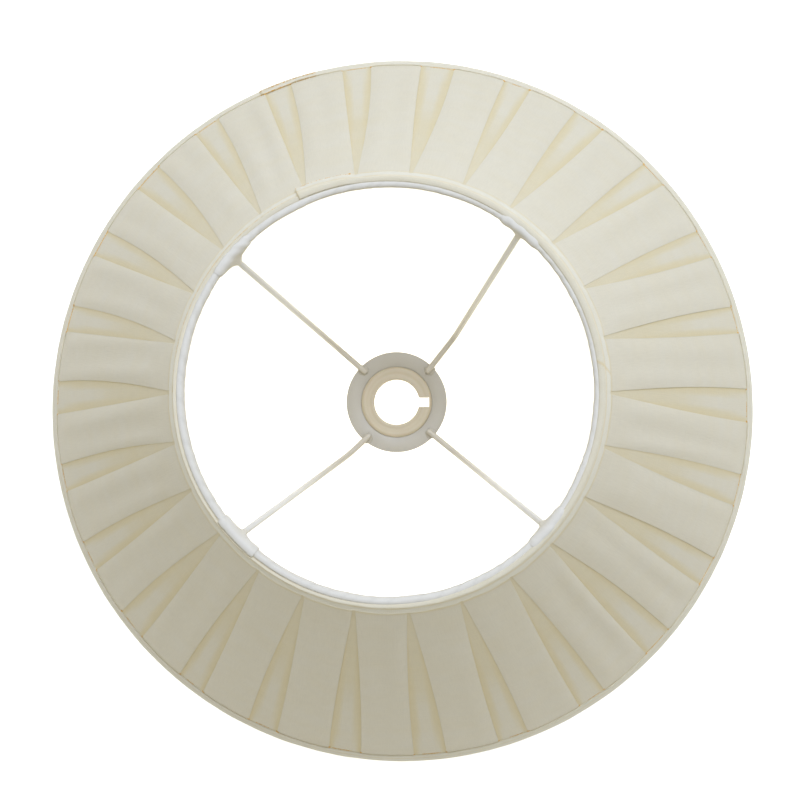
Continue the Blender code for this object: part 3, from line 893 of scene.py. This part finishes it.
def makeNeatener(number):
    swing = arms["ringAngles"][number]
    across = np.linspace(-neatener["half"], neatener["half"], neatener["columns"])
    route = armRoute(number)
    down = (route[3] - route[0]).normalized()
    ringPoint = Vector(turned(topRadius, topHeight, swing))
    wide = neatener["flareWide"][number]
    reach = neatener["flareReach"][number]
    pull = np.exp(-np.abs(across / wide) ** 1.6)
    side = np.cross(np.array(down), np.array([0, 0, 1.0]))
    side /= np.linalg.norm(side)
    above = np.cross(side, np.array(down))
    above *= 1 if above[2] > 0 else -1
    lateral = np.radians(across)[:, None] * topRadius * side[None, :]
    tangent = np.array([-math.sin(math.radians(swing)), math.cos(math.radians(swing)), 0.0])
    if np.dot(side, tangent) < 0:
        lateral = -lateral
    rows = []
    runs = []
    run = 0.0
    steps = [("ring", angle) for angle in np.linspace(neatener["start"], inAngle, 17)]
    steps += [("slope", slant - neatener["leg"] * share / 8) for share in range(1, 9)]
    for index, (kind, value) in enumerate(steps):
        share = index / (len(steps) - 1)
        offset = neatener["low"] + neatener["puff"] * smooth((neatener["half"] - np.abs(across)) / 1.4)
        loose = np.where(across < 0, *neatener["endLift"][number])
        offset = offset - (neatener["flush"] - loose * mm) * smooth((np.abs(across) - 3.6) / 3.0)
        offset = offset + 0.2 * mm * ripple(across * 9 + 40 * number, 50 + number, 1, 9)
        offset = offset + 0.15 * mm * ripple(across * 14 + 90 * share, 60 + number, 2, 12)
        if kind == "ring":
            offset = offset + neatener["over"][number] * mm * smooth((135 - value) / 50)
            radius, level = roundRing(topRing, offset, value)
        else:
            radius, level = slopePoint(value, -offset)
        flat = turned(radius + 0 * across, level + 0 * across, swing + across)
        # near the arm the cloth leaves the ring and runs down the arm instead
        along = smooth((share - 0.28) / 0.72)
        target = np.array(ringPoint + down * (reach * along + neatener["armStart"]))
        over = above[None, :] * (arms["wire"] / 2 + neatener["armGap"])
        wrapped = target[None, :] + lateral * neatener["narrowing"] + over
        blend = (pull * smooth((share - 0.25) / 0.45))[:, None]
        rows.append(flat * (1 - blend) + wrapped * blend)
        runs.append(run)
        run += (0.8 * mm if kind == "ring" else 1.5 * mm)
    points = np.array(rows)
    lengths = np.radians(across) * topRadius
    uvs = np.array([[(length, one) for length in lengths] for one in runs])
    shadeAndSeams = np.zeros(points.shape[:2])
    piece = gridMesh("neatener%d" % (number + 1), points, uvs, shadeAndSeams, whiteLawn)
    return thicken(piece, neatener["thickness"])


neatenerPieces = [makeNeatener(number) for number in range(4)]
print("neateners made")


# Glue beads at the foot of every gap, made with Geometry Nodes from a line of points

glue = dict(size=0.7 * mm, uneven=0.3, along=13.0 * mm, out=3.0 * mm, seed=8, lineStep=0.7 * mm,
            heavyAt=145, heavyWide=22,
            lapStep=0.22, lowOut=3.7 * mm, foldOut=4.85 * mm, topOut=4.2 * mm,     # along the laps
            groove=1.2 * mm, grooveOut=3.95 * mm, grooveStep=0.25, grooveWide=24)


def beadTree():
    # a squashed bead on every point, each a little different
    tree, given = newTree("beadsOnPoints", {
        "Points": "Geometry", "Bead Size": "Float", "Unevenness": "Float", "Seed": "Int",
        "Finish": "Material"})
    bead = addNode(tree, "GeometryNodeMeshIcoSphere", {"Radius": 1.0, "Subdivisions": 2})
    uneven = given.outputs["Unevenness"]
    least = addNode(tree, "ShaderNodeMath", {0: 1.0, 1: uneven}, operation="SUBTRACT")
    most = addNode(tree, "ShaderNodeMath", {0: 1.0, 1: uneven}, operation="ADD")
    vary = addNode(tree, "FunctionNodeRandomValue", {
        2: least, 3: most, "Seed": given.outputs["Seed"]}, data_type="FLOAT")
    own = addNode(tree, "GeometryNodeInputNamedAttribute", {"Name": "size"}, data_type="FLOAT")
    mixed = addNode(tree, "ShaderNodeMath", {0: vary.outputs[1], 1: own}, operation="MULTIPLY")
    scaled = addNode(tree, "ShaderNodeMath", {0: mixed, 1: given.outputs["Bead Size"]},
                     operation="MULTIPLY")
    size = addNode(tree, "ShaderNodeCombineXYZ", {axis: scaled for axis in range(3)})
    spin = addNode(tree, "FunctionNodeRandomValue", {
        0: (0, 0, 0), 1: (math.tau, math.tau, math.tau), "Seed": given.outputs["Seed"]},
        data_type="FLOAT_VECTOR")
    asPoints = addNode(tree, "GeometryNodeMeshToPoints", {"Mesh": given.outputs["Points"]})
    placed = addNode(tree, "GeometryNodeInstanceOnPoints", {
        "Points": asPoints, "Instance": bead, "Rotation": spin, "Scale": size})
    return endTree(tree, given, placed)


def makeGlue():
    draw = random.Random(glue["seed"])
    places = []
    sizes = []
    rise = glue["along"] / slant
    for gap in gapPlan:
        left, right = gapSides(gap, rise)
        for edge in (left, right):
            for _ in range(3):
                angle = edge + draw.uniform(-0.12, 0.12)
                radius, level = slopePoint(glue["along"] + draw.uniform(0, 0.5) * mm, glue["out"])
                places.append(turned(radius, level, angle))
                sizes.append(draw.uniform(0.7, 1.25))
        # the line of glue between them is heaviest on one side of the shade
        heavy = math.exp(-((left - glue["heavyAt"]) / glue["heavyWide"]) ** 2)
        first = draw.uniform(0.0, 0.4) * (1 - heavy)
        last = 1 - draw.uniform(0.0, 0.4) * (1 - heavy)
        count = int(math.radians(right - left) * bottomRadius / glue["lineStep"])
        for step in range(count + 1):
            share = step / count
            if first <= share <= last:
                radius, level = slopePoint(glue["along"], glue["out"] - 0.1 * mm)
                places.append(turned(radius, level, left + (right - left) * share))
                sizes.append(draw.uniform(0.45, 0.65) * (1 + 0.5 * heavy))
    # glue squeezed out along the edges of both laps
    for binding, lower in ((topBinding, False), (lowBinding, True)):
        reach = binding["lap"] + 2
        for step in range(int(reach / glue["lapStep"])):
            togo = step * glue["lapStep"]
            slipped = float(smooth((binding["lap"] + 5 - togo) / (binding["lap"] + 5))) * binding["slip"]
            if lower:
                lines = [slopePoint(binding["leg"] + slipped + 0.3 * mm, glue["lowOut"]),
                         slopePoint(0.45 * (binding["leg"] + slipped), glue["foldOut"])]
            else:
                lines = [slopePoint(slant - binding["leg"] - slipped - 0.7 * mm, glue["topOut"])]
            for place in lines:
                if draw.random() < 0.95:
                    places.append(turned(*place, binding["lapAt"] - togo))
                    sizes.append(draw.uniform(0.4, 0.7))
    # and a broken line of it in the upper binding's groove
    for step in range(int(360 / glue["grooveStep"])):
        angle = step * glue["grooveStep"]
        heavy = math.exp(-((angle - glue["heavyAt"]) / glue["grooveWide"]) ** 2)
        if draw.random() < heavy:
            places.append(turned(*slopePoint(slant - glue["groove"], glue["grooveOut"]), angle))
            sizes.append(draw.uniform(0.22, 0.4) * (0.6 + 0.4 * heavy))
    source = lineObject("gluePoints", places, joined=False)
    own = source.data.attributes.new("size", "FLOAT", "POINT")
    own.data.foreach_set("value", np.array(sizes, dtype=np.float32))
    return runTree("glueBeads", source, beadTree(), {
        "Bead Size": glue["size"], "Unevenness": glue["uneven"], "Seed": glue["seed"],
        "Finish": driedGlue})


gluePiece = makeGlue()
print("glue beads made:", len(gluePiece.data.polygons), "faces")


# What each piece stands for and what it rides on

for node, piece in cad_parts.items():
    if node.startswith("strut") or node in ("top_ring", "bottom_ring"):
        piece.data.materials.clear()
        piece.data.materials.append(whiteEnamel)

# piece, body, the CAD nodes it stands for, material slot
stands = [(pleatedCover, "shade", ["pleated_cover"], "cover_cloth"),
          (liningPiece, "shade", ["lining"], "lining_cloth"),
          (topTrim, "shade", ["top_trim"], "trim_cloth"),
          (bottomTrim, "shade", ["bottom_trim"], "trim_cloth"),
          (platePiece, "shade", ["fitter_plate"], "plate_enamel"),
          (reducerPiece, "reducer", ["reducer_ring"], "reducer_plastic"),
          (gluePiece, "shade", [], None)]
for number in range(4):
    stands.append((armPieces[number], "shade", ["fitter_arm_%d" % (number + 1)], "fitter_enamel"))
    stands.append((beadPieces[number], "shade", [], "fitter_enamel"))
    stands.append((neatenerPieces[number], "shade", ["neatener_%d" % (number + 1)], "lining_cloth"))
for piece, body, nodes, slotName in stands:
    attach(piece, body)
    if nodes:
        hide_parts(*nodes)

print("pieces ride on their bodies")


# The stage: a pale floor lit from below as well, so that it stays even round the shade

stage = dict(floorSize=60.0, floorDepth=0.2 * mm, floorColour="F7F7F5", floorGrain="F4F4F2",
             floorGlow=0.72, glowColour="FFFDF6",
             world=0.225, backdrop=0.97, worldColour="FFFCEE", keyColour="DAE5FE",
             keyPlace=(0.39, 1.09, 2.55), keyAim=(0.0, 0.0, 0.12), keySize=1.3, keyPower=48.0,
             topPlace=(0.0, 0.0, 2.4), topSize=0.9, topPower=7.0)


def makeFloor():
    material, tree = newMaterial("paleAcrylic")
    # opal acrylic sheet over a light box
    place = addNode(tree, "ShaderNodeTexCoord")
    grain = addNode(tree, "ShaderNodeTexNoise", {
        "Vector": place.outputs["Object"], "Scale": 40.0, "Detail": 2.0})
    tone = addNode(tree, "ShaderNodeMix", {
        0: grain, 6: hexColour(stage["floorColour"]), 7: hexColour(stage["floorGrain"])},
        data_type="RGBA")
    body = addNode(tree, "ShaderNodeBsdfPrincipled", {
        "Base Color": tone.outputs[2], "Roughness": 0.9, "Specular IOR Level": 0.1,
        "Emission Color": hexColour(stage["glowColour"]), "Emission Strength": stage["floorGlow"]})
    addNode(tree, "ShaderNodeOutputMaterial", {"Surface": body})
    half = stage["floorSize"] / 2
    corners = [(-half, -half), (half, -half), (half, half), (-half, half)]
    mesh = bpy.data.meshes.new("floor")
    mesh.from_pydata([(*corner, -stage["floorDepth"]) for corner in corners], [], [(0, 1, 2, 3)])
    mesh.materials.append(material)
    addObject("floor", mesh)


def aim(place, target, up):
    forward = (Vector(target) - Vector(place)).normalized()
    right = forward.cross(Vector(up)).normalized()
    above = right.cross(forward)
    return Matrix(((right.x, above.x, -forward.x, place[0]), (right.y, above.y, -forward.y, place[1]),
                   (right.z, above.z, -forward.z, place[2]), (0, 0, 0, 1)))


def softLight(name, place, target, size, power, colour="FFFFFF"):
    data = bpy.data.lights.new(name, "AREA")
    data.shape = "DISK"
    data.size = size
    data.energy = power
    data.color = hexColour(colour)[:3]
    addObject(name, data).matrix_world = aim(place, target, (0.0, 1.0, 0.01))


view = dict(place=(0.0252, -0.0357, 1.0777), target=(0.0025, 0.0008, 0.13), lens=67.76, sensor=36.0)


def makeCamera():
    data = bpy.data.cameras.new("overheadCamera")
    data.lens = view["lens"]
    data.sensor_width = view["sensor"]
    data.clip_start = 0.05
    data.clip_end = 50.0
    camera = addObject("overheadCamera", data)
    camera.matrix_world = aim(view["place"], view["target"], (0, 1, 0))
    bpy.context.scene.camera = camera


def makeWorld():
    # dim light all round, but a pale backdrop where the camera sees past the floor
    world = bpy.data.worlds.new("studio")
    world.use_nodes = True
    tree = world.node_tree
    tree.nodes.clear()
    light = addNode(tree, "ShaderNodeBackground", {
        "Color": hexColour(stage["worldColour"]), "Strength": stage["world"]})
    backdrop = addNode(tree, "ShaderNodeBackground", {
        "Color": hexColour(stage["floorColour"]), "Strength": stage["backdrop"]})
    seen = addNode(tree, "ShaderNodeLightPath")
    both = addNode(tree, "ShaderNodeMixShader", {
        0: seen.outputs["Is Camera Ray"], 1: light, 2: backdrop})
    addNode(tree, "ShaderNodeOutputWorld", {"Surface": both})
    bpy.context.scene.world = world


makeFloor()
softLight("keyLight", stage["keyPlace"], stage["keyAim"], stage["keySize"], stage["keyPower"],
          stage["keyColour"])
softLight("topLight", stage["topPlace"], stage["keyAim"], stage["topSize"], stage["topPower"])
makeCamera()
makeWorld()
bpy.context.scene.view_settings.view_transform = "Standard"
print("stage, lights and camera made")
